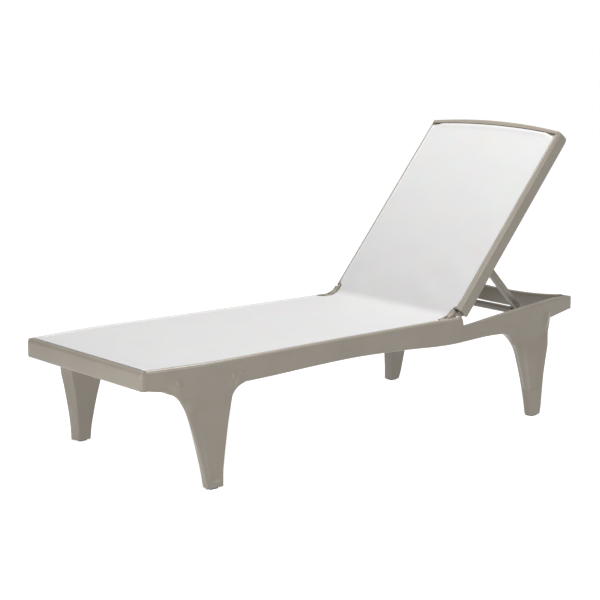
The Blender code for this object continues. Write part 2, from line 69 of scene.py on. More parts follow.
# Legs: height, front and rear edge outside, front and rear edge inside
FRONT_LEG = ((0.0, -0.771, -0.709, -0.763, -0.715), (0.05, -0.778, -0.7025, -0.769, -0.712),
             (0.10, -0.7875, -0.692, -0.7765, -0.7055), (0.15, -0.799, -0.680, -0.785, -0.698),
             (0.20, -0.8115, -0.6675, -0.7945, -0.688), (0.235, -0.8215, -0.657, -0.8035, -0.679),
             (0.265, -0.831, -0.647, -0.813, -0.667), (0.290, -0.8405, -0.635, -0.8255, -0.650),
             (0.308, -0.8565, -0.612, -0.850, -0.622), (0.320, -0.884, -0.580, -0.880, -0.584),
             (0.345, -0.886, -0.578, -0.882, -0.582))
BACK_LEG = ((0.0, 0.7005, 0.7455, 0.7065, 0.743), (0.012, 0.699, 0.7515, 0.706, 0.7465),
            (0.04, 0.6948, 0.7605, 0.7035, 0.7532), (0.10, 0.6845, 0.7742, 0.6975, 0.7605),
            (0.15, 0.676, 0.7865, 0.6905, 0.7665), (0.20, 0.6665, 0.802, 0.6812, 0.773),
            (0.235, 0.659, 0.8133, 0.6735, 0.779), (0.264, 0.650, 0.8225, 0.6635, 0.787),
            (0.286, 0.639, 0.8295, 0.650, 0.797), (0.304, 0.622, 0.8355, 0.630, 0.810),
            (0.318, 0.596, 0.840, 0.600, 0.822), (0.350, 0.594, 0.845, 0.598, 0.836))
# Dished face of each leg: start height, end height, depth. Swellings at the shoulders: y, z,
# rise, lean of the fillet they follow (radians)
LEG_DISH = ((0.018, 0.20, 0.0056), (0.084, 0.24, 0.0050))
SHOULDERS = ((-0.848, 0.334, 0.0080, 0.85), (-0.6420, 0.330, 0.0090, -1.35),
             (0.607, 0.3290, 0.0066, 0.75), (0.8170, 0.342, 0.0078, -1.35))
RAIL_WIDTH, LIP, HINGE_LIP, BACK_HALF = 0.046, 0.012, 0.0145, 0.333
SEAT_TOP, SEAT_SHELF, REAR_SHELF = 0.400, 0.3947, 0.354
RAIL_START, RAIL_END = -0.9542, 0.975
POCKET = (0.2985, 0.4060)
HINGE_Y, HINGE_Z = 0.387, 0.390
SOLE = 0.0033
KNOB_R, SEAT_END, KNOB_END = 0.0165, 0.374, 0.4036
RAIL_END_ROLL, BELLY_ROLL, LEG_ROOT = 0.009, 0.007, 0.32


def flow(stations, t, column=1):
    """Cubic curve through the stations; at each one it has the slope of the line that
    joins the two neighbours: v = h00 v0 + h10 span m0 + h01 v1 + h11 span m1."""
    table = np.array(stations, float)
    at, value = table[:, 0], table[:, column]
    last = len(at) - 1
    t = np.clip(t, at[0], at[-1])
    low, high = np.maximum(np.arange(last + 1) - 1, 0), np.minimum(np.arange(last + 1) + 1, last)
    slope = (value[high] - value[low]) / (at[high] - at[low])
    k = np.clip(np.searchsorted(at, t, side="right") - 1, 0, last - 1)
    span = at[k + 1] - at[k]
    u = (t - at[k]) / span
    return ((2 * u**3 - 3 * u**2 + 1) * value[k] + (u**3 - 2 * u**2 + u) * span * slope[k]
            + (3 * u**2 - 2 * u**3) * value[k + 1] + (u**3 - u**2) * span * slope[k + 1])


def ease(t):
    """3 t^2 - 2 t^3 with t held between 0 and 1."""
    t = np.clip(t, 0, 1)
    return t * t * (3 - 2 * t)


def half_width(y):
    """Half the frame's width at y, to the rail's outer face."""
    return flow(RAIL_PLAN, y)


def edge_gap(y, z, line):
    """Shortest distance, in the side view, from each point (y, z) to the polyline."""
    points = np.stack((np.ravel(y), np.ravel(z)), 1)
    start, along = line[:-1], np.diff(line, axis=0)
    square = np.maximum((along**2).sum(1), 1e-18)
    gaps = []
    for part in np.array_split(points, max(1, len(points) // 1500)):
        reach = part[:, None] - start
        share = np.clip((reach * along).sum(2) / square, 0, 1)
        gaps.append(np.linalg.norm(reach - share[..., None] * along, axis=2).min(1))
    return np.concatenate(gaps).reshape(np.shape(y))


def rolled(gap, radius):
    """Inset of a face near its outline: a quarter circle, radius - sqrt(r^2 - (r - gap)^2)."""
    short = radius - np.minimum(gap, radius)
    return radius - np.sqrt(np.maximum(radius**2 - short**2, 0))


def leg_face(height, across_y, outer):
    """Base x of a leg's outer or inner face: at the floor it stands splayed out, and from
    0.24 m up it eases into the rail's own curve."""
    splay = np.maximum(1 - height / 0.31, 0)
    merge = ease((height - 0.24) / 0.074)
    leg_x = 0.360 + 0.037 * splay if outer else 0.317 + 0.041 * splay
    rail_x = half_width(across_y) - (0 if outer else RAIL_WIDTH)
    return leg_x + (rail_x - leg_x) * merge


def rail_columns():
    """Stations y along the rail. Over a leg they are the leg's own columns at its root, where
    y solves y = front(z) + t (rear(z) - front(z)) with z the belly line at y."""
    share = np.linspace(0, 1, 66)
    share = 0.55 * (0.5 - 0.5 * np.cos(np.pi * share)) + 0.45 * share
    roots = []
    for leg in (FRONT_LEG, BACK_LEG):
        y = leg[-2][1] + share * (leg[-2][2] - leg[-2][1])
        for _ in range(80):
            z = flow(RAIL_BELLY, y)
            y = flow(leg, z, 1) + share * (flow(leg, z, 2) - flow(leg, z, 1))
        roots.append(y)
    head = RAIL_END - RAIL_END_ROLL * (1 - np.sin(np.linspace(0, np.pi / 2, 8)))
    parts = [np.linspace(RAIL_START, roots[0][0], 20)[:-1], roots[0],
             np.linspace(roots[0][-1], POCKET[0], 80)[1:-1], [POCKET[0] - 1e-4, POCKET[0] + 1e-4],
             np.linspace(POCKET[0], 0.370, 16)[1:-1], np.linspace(0.370, KNOB_END - 1e-4, 24),
             np.linspace(KNOB_END, 0.4062, 7), np.linspace(0.4062, roots[1][0], 26)[1:-1], roots[1],
             [0.9509, 0.9511], np.linspace(roots[1][-1], head[0], 18)[1:-1], head]
    return np.unique(np.round(np.concatenate(parts), 7)), roots, share


def side_rail(sign):
    """Vertices and quads of one side rail.

    The beam is a section carried along y; its outer and inner faces are x = base(y) minus the
    rolled inset of the distance to the side view's outline, so beam and legs share one
    continuous skin. Each leg hangs a grid from the beam's lowest row, its rows running from
    the belly line down to the sole and its columns from the leg's front to its rear edge.
    At the root the leg's columns are drawn onto the beam's by (1 - share down)^8."""
    y, roots, share = rail_columns()
    belly = flow(RAIL_BELLY, y)
    hinge = (y > POCKET[0]) & (y < POCKET[1])
    knob = HINGE_Z + np.sqrt(np.maximum(KNOB_R**2 - (y - HINGE_Y)**2, 0))
    knob_low = knob[y < KNOB_END][-1]
    step_down = knob_low + (0.369 - knob_low) * ease((y - KNOB_END) / 0.0026)
    top = np.where(y < 0.4062, step_down, flow(REAR_TOP, y))
    top = np.where(y < KNOB_END, knob, top)
    top = np.where(y < SEAT_END, SEAT_TOP + 0.0012 * ease((y - 0.345) / 0.029), top)
    into_end = np.clip((y - RAIL_END + RAIL_END_ROLL) / RAIL_END_ROLL, 0, 1)
    top = top - RAIL_END_ROLL * (1 - np.cos(np.arcsin(into_end)))
    lip = np.where(y > POCKET[1], np.clip(half_width(y) - BACK_HALF - 0.0008, 0.004, LIP), LIP)
    lip = np.where(hinge, HINGE_LIP, lip)
    shelf = np.where(y < POCKET[0], SEAT_SHELF, REAR_SHELF + 0.0215 * ease((y - 0.813) / 0.010))
    shelf = np.where(y > 0.951, top - 0.001, shelf)
    base = half_width(y)
    soft = np.minimum(0.0015 + 0.95 * lip, (top - belly) / 4)
    quarter = np.linspace(0, 1, 9)
    roll = BELLY_ROLL * (1 - np.cos(quarter * np.pi / 2))
    climb = np.linspace(0, 1, 30)[1:]
    low = belly + roll[:, None]
    high = low[-1] + climb[:, None] * (top - soft - low[-1])
    outer_z = np.concatenate([low, high])
    turn = np.linspace(0, 1, 8)[1:, None] * np.pi / 2
    over_z = top - soft + soft * np.sin(turn)
    over_in = np.minimum(0.80 * lip, soft) * (1 - np.cos(turn))
    ledge_z = np.stack([top, top - 0.0008, shelf + 0.0006, shelf, shelf, shelf - 0.0008])
    ledge_in = np.stack([lip - 0.0010, lip, lip, lip + 0.0006,
                         np.full_like(lip, RAIL_WIDTH - 0.001), np.full_like(lip, RAIL_WIDTH)])
    fall = np.linspace(0, 1, 12)[1:, None]
    down = (shelf - 0.0008) + fall * (belly + BELLY_ROLL - shelf + 0.0008)
    inner_z = np.concatenate([down, (belly + roll[::-1][1:, None])])

    grids = []
    for leg, root in zip((FRONT_LEG, BACK_LEG), roots):
        heights = np.concatenate([np.linspace(LEG_ROOT, 0.28, 20),
                                  np.linspace(0.278, SOLE + 0.005, 110),
                                  SOLE + 0.005 * (1 - np.sin(np.linspace(0, np.pi / 2, 6)[1:]))])
        down_share = ((LEG_ROOT - heights) / (LEG_ROOT - SOLE))[:, None]
        z = flow(RAIL_BELLY, root) * (1 - down_share) + SOLE * down_share
        outside, inside = (flow(leg, z, k) + share * (flow(leg, z, k + 1) - flow(leg, z, k))
                           for k in (1, 3))
        outside, inside = (k + (root - k[0]) * (1 - down_share)**8 for k in (outside, inside))
        grids.append((z, outside, inside))

    def outline(which):
        line, done = [], -9.0
        for (z, *ys), root in zip(grids, roots):
            span = (y > done) & (y < root[0] - 1e-6)
            line += [np.stack((y[span], belly[span]), 1)]
            leg_y = ys[which]
            line += [np.stack((leg_y[:, 0], z[:, 0]), 1), np.stack((leg_y[-1], z[-1]), 1)[1:-1],
                     np.stack((leg_y[:, -1], z[:, -1]), 1)[::-1]]
            done = root[-1] + 1e-6
        line.append(np.stack((y[y > done], belly[y > done]), 1))
        if which == 0:
            line.append(np.array([[RAIL_END, 0.45]]))
        return np.concatenate(line)

    def skin_radius(z):
        return 0.0035 + 0.0025 * ease((z - 0.004) / 0.06)

    def swell(yy, zz, base_x):
        """Base x raised by the shoulder swellings, exp(-(along / 0.024)^2 - (across / 0.016)^2),
        and sunk by the legs' dished faces."""
        out = np.zeros_like(yy)
        for at_y, at_z, rise, lean in SHOULDERS:
            dy, dz = yy - at_y, zz - at_z
            along = dy * math.cos(lean) - dz * math.sin(lean)
            across = dy * math.sin(lean) + dz * math.cos(lean)
            out += rise * np.exp(-(along / 0.024)**2 - (across / 0.016)**2)
        for leg, (start, end, depth) in zip((FRONT_LEG, BACK_LEG), LEG_DISH):
            front, back = flow(leg, zz, 1), flow(leg, zz, 2)
            middle = np.clip(np.abs((yy - front) / (back - front) * 2 - 1), 0, 1)
            cup = start + 0.010 * middle**2
            bowl = ease((zz - cup) / 0.011) * (1 - ease((zz - end) / 0.10))
            inside = (yy > front) & (yy < back)
            out -= np.where(inside, depth * ease((0.80 - middle) / 0.5) * bowl, 0)
        return base_x + out

    line_out, line_in = outline(0), outline(1)
    yy = np.broadcast_to(y, outer_z.shape)
    outer_x = (swell(yy, outer_z, np.broadcast_to(base, yy.shape))
               - rolled(edge_gap(yy, outer_z, line_out), skin_radius(outer_z)))
    end_roll = rolled(np.maximum(RAIL_END - y, 0), 0.006)
    over_x = base - np.minimum(over_in + end_roll, RAIL_WIDTH)
    ledge_x = base - np.maximum(ledge_in, np.minimum(end_roll, 0.006))
    yi = np.broadcast_to(y, inner_z.shape)
    inner_x = base - RAIL_WIDTH + rolled(edge_gap(yi, inner_z, line_in), skin_radius(inner_z))
    xs = np.concatenate([outer_x, over_x, ledge_x, inner_x])
    zs = np.concatenate([outer_z, over_z, ledge_z, inner_z])
    beam = np.stack((xs, np.broadcast_to(y, xs.shape), zs), 2)

    points, faces = [beam.reshape(-1, 3)], []
    rows, columns = xs.shape
    index = np.arange(rows * columns).reshape(rows, columns)

    def quads(ids):
        return np.stack((ids[:-1, :-1], ids[:-1, 1:], ids[1:, 1:], ids[1:, :-1]), 2).reshape(-1, 4)

    faces.append(quads(index))
    count = rows * columns
    open_belly = np.ones(columns - 1, bool)
    for (z, out_y, in_y), root in zip(grids, roots):
        first = int(np.argmin(np.abs(y - root[0])))
        open_belly[first:first + len(root) - 1] = False
        out_x = (swell(out_y, z, leg_face(z, out_y, True))
                 - rolled(edge_gap(out_y, z, line_out), skin_radius(z)))
        in_x = leg_face(z, in_y, False) + rolled(edge_gap(in_y, z, line_in), skin_radius(z))
        ids = count + np.arange(z.size).reshape(z.shape)
        ids_in = ids + z.size
        over_leg = slice(first, first + len(root))
        out_x[0], in_x[0] = beam[0, over_leg, 0], beam[-1, over_leg, 0]
        points += [np.stack((out_x, out_y, z), 2).reshape(-1, 3),
                   np.stack((in_x, in_y, z), 2).reshape(-1, 3)]
        faces += [quads(ids), quads(ids_in)[:, ::-1], quads(np.stack((ids[:, 0], ids_in[:, 0]))),
                  quads(np.stack((ids[:, -1], ids_in[:, -1])))[:, ::-1],
                  quads(np.stack((ids[-1], ids_in[-1])))]
        count += 2 * z.size
    bottom = quads(np.stack((index[0], index[-1])))
    faces.append(bottom[open_belly])
    vertices = np.concatenate(points) * (sign, 1, 1)
    caps = [index[:, 0].tolist(), index[::-1, -1].tolist()]
    return vertices, np.concatenate(faces).tolist() + caps


def placed(name, data):
    """Object of this name with the data, linked into the scene at the origin."""
    made = bpy.data.objects.new(name, data)
    bpy.context.scene.collection.objects.link(made)
    return made


def piece_mesh(name, vertices, faces, material, crease=38):
    """Object at the origin from arrays: doubles welded, faces turned outwards, smooth but
    for edges sharper than the crease angle in degrees."""
    mesh = bpy.data.meshes.new(name)
    mesh.from_pydata(np.asarray(vertices).tolist(), [], [list(f) for f in faces])
    bm = bmesh.new()
    bm.from_mesh(mesh)
    bmesh.ops.remove_doubles(bm, verts=bm.verts, dist=2e-6)
    bmesh.ops.recalc_face_normals(bm, faces=bm.faces)
    if bm.calc_volume(signed=True) < 0.0:
        bmesh.ops.reverse_faces(bm, faces=bm.faces)
    bm.to_mesh(mesh)
    bm.free()
    mesh.materials.append(material)
    mesh.shade_smooth()
    mesh.set_sharp_from_angle(angle=math.radians(crease))
    return placed(name, mesh)


def node(tree, kind, **inputs):
    """Shader node with its inputs set or linked; a name's underscores stand for spaces."""
    made = tree.nodes.new(kind)
    for key, value in inputs.items():
        if hasattr(made, key) and key not in ("inputs", "outputs"):
            setattr(made, key, value)
            continue
        socket = made.inputs[int(key[1:])] if key[0] == "i" and key[1:].isdigit() \
            else made.inputs[key.replace("_", " ")]
        if isinstance(value, bpy.types.NodeSocket):
            tree.links.new(value, socket)
        else:
            socket.default_value = value
    return made


def new_material(name):
    """Material with nodes, its node tree and its Principled shader."""
    material = bpy.data.materials.new(name)
    material.use_nodes = True
    return material, material.node_tree, material.node_tree.nodes["Principled BSDF"]


def moulded_resin(name, colour, rough, grain):
    """Satin moulded resin: a faint flow mottle in the colour, a fine spark-eroded grain in
    the surface, and roughness that wanders a little where the mould is more worn."""
    material, tree, shader = new_material(name)
    place = tree.nodes.new("ShaderNodeTexCoord").outputs["Object"]
    cloud = node(tree, "ShaderNodeTexNoise", Vector=place, Scale=7.0, Detail=3.0)
    ramp = tree.nodes.new("ShaderNodeValToRGB")
    ramp.color_ramp.elements[0].position, ramp.color_ramp.elements[1].position = 0.3, 0.7
    ramp.color_ramp.elements[0].color = (*[c * 0.955 for c in colour], 1)
    ramp.color_ramp.elements[1].color = (*[c * 1.045 for c in colour], 1)
    tree.links.new(cloud.outputs["Fac"], ramp.inputs["Fac"])
    tree.links.new(ramp.outputs["Color"], shader.inputs["Base Color"])
    wear = node(tree, "ShaderNodeTexNoise", Vector=place, Scale=38.0, Detail=2.0)
    satin = node(tree, "ShaderNodeMapRange", Value=wear.outputs["Fac"])
    satin.inputs["To Min"].default_value = rough - 0.05
    satin.inputs["To Max"].default_value = rough + 0.05
    tree.links.new(satin.outputs["Result"], shader.inputs["Roughness"])
    pits = node(tree, "ShaderNodeTexNoise", Vector=place, Scale=1100.0, Detail=2.0)
    relief = node(tree, "ShaderNodeBump", Strength=grain, Distance=0.00012,
                  Height=pits.outputs["Fac"])
    tree.links.new(relief.outputs["Normal"], shader.inputs["Normal"])
    shader.inputs["Specular IOR Level"].default_value = 0.5
    return material


taupe = moulded_resin("taupe_resin", (0.190, 0.168, 0.137), rough=0.30, grain=0.22)
for sign, word in ((1, "right"), (-1, "left")):
    rail = piece_mesh(f"rail_moulding_{word}", *side_rail(sign), taupe)
    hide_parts(f"side_rail_{word}")
    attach(rail, "frame")

# ---- Foot pads ----------------------------------------------------------------------
# A rubber pad is pressed into the sole of each leg, ribbed underneath so that the lounger
# doesn't slide on tiles; the ribs are not drawn, and the pad is a plain rounded block. It
# stands a few millimetres below the resin.
rubber = moulded_resin("foot_rubber", (0.030, 0.029, 0.028), rough=0.75, grain=0.6)


def carry(rings, closed=True, caps=True):
    """Vertices and faces of a profile carried along a path: rings is (stations, points, 3),
    each ring joined to the next point by point, with a flat cap on each end."""
    rings = np.asarray(rings, float)
    stations, around = rings.shape[:2]
    ids = np.arange(stations * around).reshape(stations, around)
    wrap = np.concatenate((ids, ids[:, :1]), 1) if closed else ids
    faces = np.stack((wrap[:-1, :-1], wrap[:-1, 1:], wrap[1:, 1:], wrap[1:, :-1]), 2)
    faces = faces.reshape(-1, 4).tolist()
    if caps:
        faces += [ids[0][::-1].tolist(), ids[-1].tolist()]
    return rings.reshape(-1, 3), faces


def rounded(corners, steps=5):
    """Closed profile whose corners (a, b, radius) are replaced by arcs, drawn as quadratic
    curves between the two tangent points: p = (1-t)^2 p0 + 2 t (1-t) corner + t^2 p1."""
    points = np.array([c[:2] for c in corners], float)
    radii = np.array([c[2] for c in corners], float)
    t = np.linspace(0, 1, steps)[:, None]
    out = []
    for i, (corner, radius) in enumerate(zip(points, radii)):
        ends = []
        for other in (points[i - 1], points[(i + 1) % len(points)]):
            length = np.linalg.norm(other - corner)
            ends.append(corner + (other - corner) * min(radius, 0.499 * length) / length)
        out.append((1 - t)**2 * ends[0] + 2 * t * (1 - t) * corner + t**2 * ends[1])
    return np.concatenate(out)


for leg, end in (("front", FRONT_LEG), ("back", BACK_LEG)):
    for sign, word in ((1, "right"), (-1, "left")):
        low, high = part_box(f"foot_pad_{leg}_{word}")
        levels = ((0.0, 0.0010), (0.0006, 0.0), (high.z - 0.0004, 0.0), (high.z, 0.0004))
        rings = [np.c_[rounded([(low.x + t, low.y + t, 0.006), (high.x - t, low.y + t, 0.006),
                                (high.x - t, high.y - t, 0.006), (low.x + t, high.y - t, 0.006)]),
                       np.full(20, z)] for z, t in levels]
        pad = piece_mesh(f"foot_rubber_{leg}_{word}", *carry(rings), rubber)
        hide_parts(f"foot_pad_{leg}_{word}")
        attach(pad, "frame")

# ---- Foot end bar -------------------------------------------------------------------
# One moulding closes the foot end: a rolled front lip over a ledge for the sling's front
# rod, with a narrow channel between them that the rod is pushed down into.
FOOT_FACE, FOOT_HALF, FOOT_BASE = -0.975, 0.3342, 0.3357
CHANNEL = (0.0125, 0.0180)      # front and back of the rod's channel, behind the bar's face
NOTCH_HALF, SHELF_HALF = 0.3225, 0.2871


def foot_bar_rings():
    """Profile in (y, z), carried along x, its top front edge a quarter ellipse of 11 by 17 mm.
    At the ends the face falls back by a quarter circle of 11 mm and the top by a quarter
    ellipse of 18 by 8 mm. A shallow parting groove runs down each rounded corner."""
    turn = np.linspace(0, np.pi / 2, 9)
    x = np.concatenate([-FOOT_HALF + 0.0028 * (1 - np.cos(turn)), np.linspace(-0.3310, -0.3235, 14),
                        [-0.3226, -0.3224, -0.3205, -0.3180, -0.3165, -0.2872, -0.2870],
                        np.linspace(-0.28, 0, 12)])
    x = np.concatenate([x, -x[:-1][::-1]])
    rings = []
    for at in x:
        size = abs(at)
        fall = float(rolled(np.array(FOOT_HALF - size), 0.011))
        fall += 0.0016 * math.exp(-((size - 0.3298) / 0.0010)**2)
        drop = 0.008 * (1 - math.sqrt(1 - min(max(size - 0.3162, 0) / 0.0181, 1)**2))
        lip_top = 0.4014 - drop
        back = FOOT_FACE + (0.050 if size < SHELF_HALF else 0.0208)
        groove, ledge = (0.3862, 0.3962) if size < NOTCH_HALF else (0.3976, 0.3986)
        face = FOOT_FACE + fall
        front, rear = FOOT_FACE + CHANNEL[0], FOOT_FACE + CHANNEL[1]
        tilt = np.linspace(0, np.pi / 2, 11)[:, None]
        wide = (front - 0.0014 - face) * 0.93
        crest = np.c_[face + wide * (1 - np.cos(tilt)), lip_top - 0.017 * (1 - np.sin(tilt))]
        low = rounded([(back, FOOT_BASE, 0.003), (face, FOOT_BASE, 0.007),
                       (face, 0.39, 0.001)], 6)
        channel = rounded([(face, 0.39, 0.001), (front, lip_top - 0.0012, 0.0012),
                           (front, groove, 0.0006), (rear, groove, 0.0006),
                           (rear, ledge, 0.0010), (back, ledge - 0.0014, 0.0010),
                           (back, FOOT_BASE, 0.003)], 6)[6:36]
        profile = np.concatenate((low[6:12], crest, channel, low[:6]))
        across = np.full(len(profile), at) * half_width(profile[:, 0]) / half_width(FOOT_FACE)
        rings.append(np.c_[across, profile])
    return rings


bar = piece_mesh("foot_bar_moulding", *carry(foot_bar_rings()), taupe)
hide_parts("foot_end_bar")
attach(bar, "frame")

# ---- Head end bar -------------------------------------------------------------------
# The bar at the head end is also the lifting handle: its top dips and its belly hangs
# lower in the middle. It is screwed between the rails from outside.


def head_bar_rings():
    """Rounded section in (y, z) at shares of the half width; top 0.391 + 0.019 |share|^2.2,
    bottom 0.332 + 0.030 share^4, and each end flat against its rail."""
    rings = []
    for share in np.linspace(-1, 1, 49):
        top, bottom = 0.391 + 0.019 * abs(share)**2.2, 0.332 + 0.030 * share**4
        profile = rounded([(0.9515, bottom, 0.006), (0.9748, bottom, 0.006),
                           (0.9748, (top + bottom) / 2, 0.004), (0.9748, top, 0.008),
                           (0.9515, top, 0.007)], 6)
        half = half_width(profile[:, 0]) - RAIL_WIDTH - 0.0004
        rings.append(np.c_[share * half, profile])
    return rings


bar = piece_mesh("head_bar_moulding", *carry(head_bar_rings()), taupe)
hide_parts("head_end_bar")
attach(bar, "frame")

# ---- Cross braces under the seat ----------------------------------------------------
# Two resin braces tie the rails together under the sling. They bow down so that a loaded
# sling stays clear, and are notched into the rails' inner faces.


def brace_rings(y, top, depth, dip, width):
    """Rounded section carried across; it hangs dip lower in the middle, as a parabola."""
    half = float(half_width(np.array(y))) - RAIL_WIDTH - 0.0006
    rings = []
    for x in np.linspace(-half, half, 33):
        z = top - dip * (1 - (x / half)**2)
        profile = rounded([(y - width / 2, z - depth, 0.004), (y + width / 2, z - depth, 0.004),
                           (y + width / 2, z, 0.005), (y - width / 2, z, 0.005)])
        rings.append(np.c_[np.full(len(profile), x), profile])
    return rings


for name, shape in (("mid_cross_brace", (-0.20, 0.378, 0.026, 0.016, 0.040)),
                    ("hinge_cross_brace", (0.322, 0.368, 0.036, 0.010, 0.028))):
    brace = piece_mesh(name.replace("brace", "member"), *carry(brace_rings(*shape)), taupe)
    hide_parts(name)
    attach(brace, "frame")

# ---- Hinge brackets -----------------------------------------------------------------
# Inside each rail, ahead of the pin, stands a curved resin guide that carries the edge of
# the sling round the bend. It has an oval drain slot, and a boss that takes the hinge pin.
GUIDE_X = (0.3026, 0.3222)
SLOT_R = 0.0044                 # half the width of the drain slot


def prism(outline, x0, x1, edge=0.0012):
    """Outline in (y, z) carried straight across from x0 to x1, its rims eased by edge: two
    inner rings full size and an end ring drawn in towards the outline's middle line."""
    outline = np.asarray(outline, float)
    ahead, behind = np.roll(outline, -1, 0), np.roll(outline, 1, 0)
    run = ahead - behind
    normal = np.stack((run[:, 1], -run[:, 0]), 1)
    normal /= np.linalg.norm(normal, axis=1)[:, None]
    area = (outline[:, 0] * ahead[:, 1] - ahead[:, 0] * outline[:, 1]).sum()
    normal *= np.sign(area)
    rings = []
    for x, pull in ((x0, edge), (x0 + 0.3 * edge, 0.3 * edge), (x0 + edge, 0), (x1 - edge, 0),
                    (x1 - 0.3 * edge, 0.3 * edge), (x1, edge)):
        ring = outline - normal * pull
        rings.append(np.c_[np.full(len(ring), x), ring])
    return np.array(rings)


def arc(centre, radius, start, end, count):
    """Points on a circle about centre, from the start angle to the end angle in degrees."""
    angle = np.radians(np.linspace(start, end, count))
    return np.stack((centre[0] + radius * np.cos(angle), centre[1] + radius * np.sin(angle)), 1)


def combined(whole, other, operation, crease):
    """First shell joined to the second or cut by it with an exact Boolean, made final; the
    second is removed."""
    change = whole.modifiers.new("combine", "BOOLEAN")
    change.operation, change.object, change.solver = operation, other, "EXACT"
    whole.data = bpy.data.meshes.new_from_object(whole.evaluated_get(
        bpy.context.evaluated_depsgraph_get()))
    whole.modifiers.clear()
    whole.data.set_sharp_from_angle(angle=math.radians(crease))
    bpy.data.objects.remove(other)


guide_line = np.concatenate([
    rounded([(0.3745, 0.3547, 0.002), (0.3125, 0.3547, 0.002), (0.3125, 0.3992, 0.0035),
             (0.330, 0.4012, 0.004), (0.346, 0.4050, 0.006), (0.3600, 0.4115, 0.006),
             (0.3690, 0.4195, 0.005), (0.3752, 0.4272, 0.0022), (0.3802, 0.4210, 0.003),
             (0.3752, 0.4090, 0.006)], 4),
    arc((HINGE_Y, HINGE_Z), 0.0192, 150, 225, 9)])
oval = np.concatenate([arc((0.3140, 0.330), SLOT_R, 180, 360, 9),
                       arc((0.3140, 0.345), SLOT_R, 0, 180, 9)])
for sign, word in ((1, "right"), (-1, "left")):
    guide = piece_mesh(f"sling_guide_{word}", *carry(prism(guide_line, *GUIDE_X) * (sign, 1, 1)),
                       taupe, 30)
    low, high = (np.c_[oval * (sign, 1), np.full(len(oval), z)] for z in (0.372, 0.45))
    punch = piece_mesh("punch", *carry([low, high]), taupe)
    combined(guide, punch, "DIFFERENCE", 30)
    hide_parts(f"hinge_bracket_{word}")
    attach(guide, "frame")

# ---- Backrest rails -----------------------------------------------------------------
# Each backrest side is a deep resin channel with a chamfered front edge that stands a
# little above the sling, an inner flange behind the cloth, and a tongue on the hinge pin.
RECLINE = math.radians(50)
BACK_REAR, BACK_SHELF, BACK_FRONT = -0.0285, 0.0227, 0.0270
FLANGE_X, DEEP_X, SHELF_END, BACK_LENGTH = 0.248, 0.293, 0.7955, 0.812
TIP_ROLL = 0.005
RAIL_TIP, LIP_X = 0.030, 0.3184
TONGUE_R, TONGUE_X = 0.0130, (0.2940, 0.3222)


def lean_back(points):
    """From the backrest's frame to the lounger's: (x, s, n) turned by the recline angle
    about the hinge, y = hinge + s cos - n sin, z = hinge + s sin + n cos."""
    points = np.asarray(points, float)
    x, s, n = points[..., 0], points[..., 1], points[..., 2]
    return np.stack((x, HINGE_Y + s * math.cos(RECLINE) - n * math.sin(RECLINE),
                     HINGE_Z + s * math.sin(RECLINE) + n * math.cos(RECLINE)), -1)


def back_rail_rings(sign):
    """Section in (x, n) carried along s. Past the cloth's end the flange is cut away and the
    rear edge draws in by half the distance; the outer side rolls in at the tip."""
    rings = []
    stations = np.concatenate([[RAIL_TIP, RAIL_TIP + 0.0008, RAIL_TIP + 0.003],
                               np.linspace(0.04, 0.79, 26), [SHELF_END, SHELF_END + 0.0002],
                               BACK_LENGTH - TIP_ROLL * (1 - np.sin(np.linspace(0, 1.57, 7)))])
    for s in stations:
        close = max(s - 0.800, 0) * 0.5
        ends = 0.0025 - min(s - RAIL_TIP, 0.0025) if s < RAIL_TIP + 0.003 else 0
        end_in = float(rolled(np.array(max(BACK_LENGTH - s, 0)), TIP_ROLL))
        rear = BACK_REAR + close + ends
        side = BACK_HALF - end_in * 0.8
        web, flange, lip = DEEP_X, FLANGE_X, LIP_X
        if s > SHELF_END + 1e-4:
            web, flange, lip = 0.3214, 0.3210, 0.3222
        profile = rounded([(flange, 0.0125, 0.0015), (web, 0.0125, 0.003),
                           (web + 0.0001, rear, 0.004), (side, rear, 0.006), (side, 0.0130, 0.006),
                           (side - 0.0086, BACK_FRONT - 0.0003, 0.006), (lip, BACK_FRONT, 0.0012),
                           (lip - 0.0004, BACK_SHELF, 0.0004),
                           (flange, BACK_SHELF - 0.0001, 0.0008)], 6)
        rings.append(np.c_[profile[:, 0], np.full(len(profile), s), profile[:, 1]])
    return lean_back(np.array(rings)) * (sign, 1, 1)


tongue_line = np.concatenate([arc((0, 0), TONGUE_R, 90, 270, 17),
                              [(0.056, -0.0160), (0.056, 0.0110)]])
for sign, word in ((1, "right"), (-1, "left")):
    rail = piece_mesh(f"backrest_side_{word}", *carry(back_rail_rings(sign)), taupe)
    tongue = lean_back(prism(tongue_line, *TONGUE_X)) * (sign, 1, 1)
    combined(rail, piece_mesh("tongue", *carry(tongue), taupe), "UNION", 36)
    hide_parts(f"backrest_rail_{word}")
    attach(rail, "backrest")

# ---- Backrest top bar ---------------------------------------------------------------
# The head of the backrest is an arched resin bar. Its rolled front lip stands beyond a
# narrow slot, into which the sling's top rod is pushed, over a wide shelf behind the cloth.
BACK_ARCH, SLOT_END, SLOT_ARCH = 0.021, 0.7965, 0.0165


def crown(x):
    """Share of the arch's rise at x: 1 - (x / 0.322)^2."""
    return 1 - (np.asarray(x) / 0.322)**2


def slot_line(x):
    """Distance from the hinge at which the cloth dips into the slot."""
    return SLOT_END + SLOT_ARCH * crown(x)


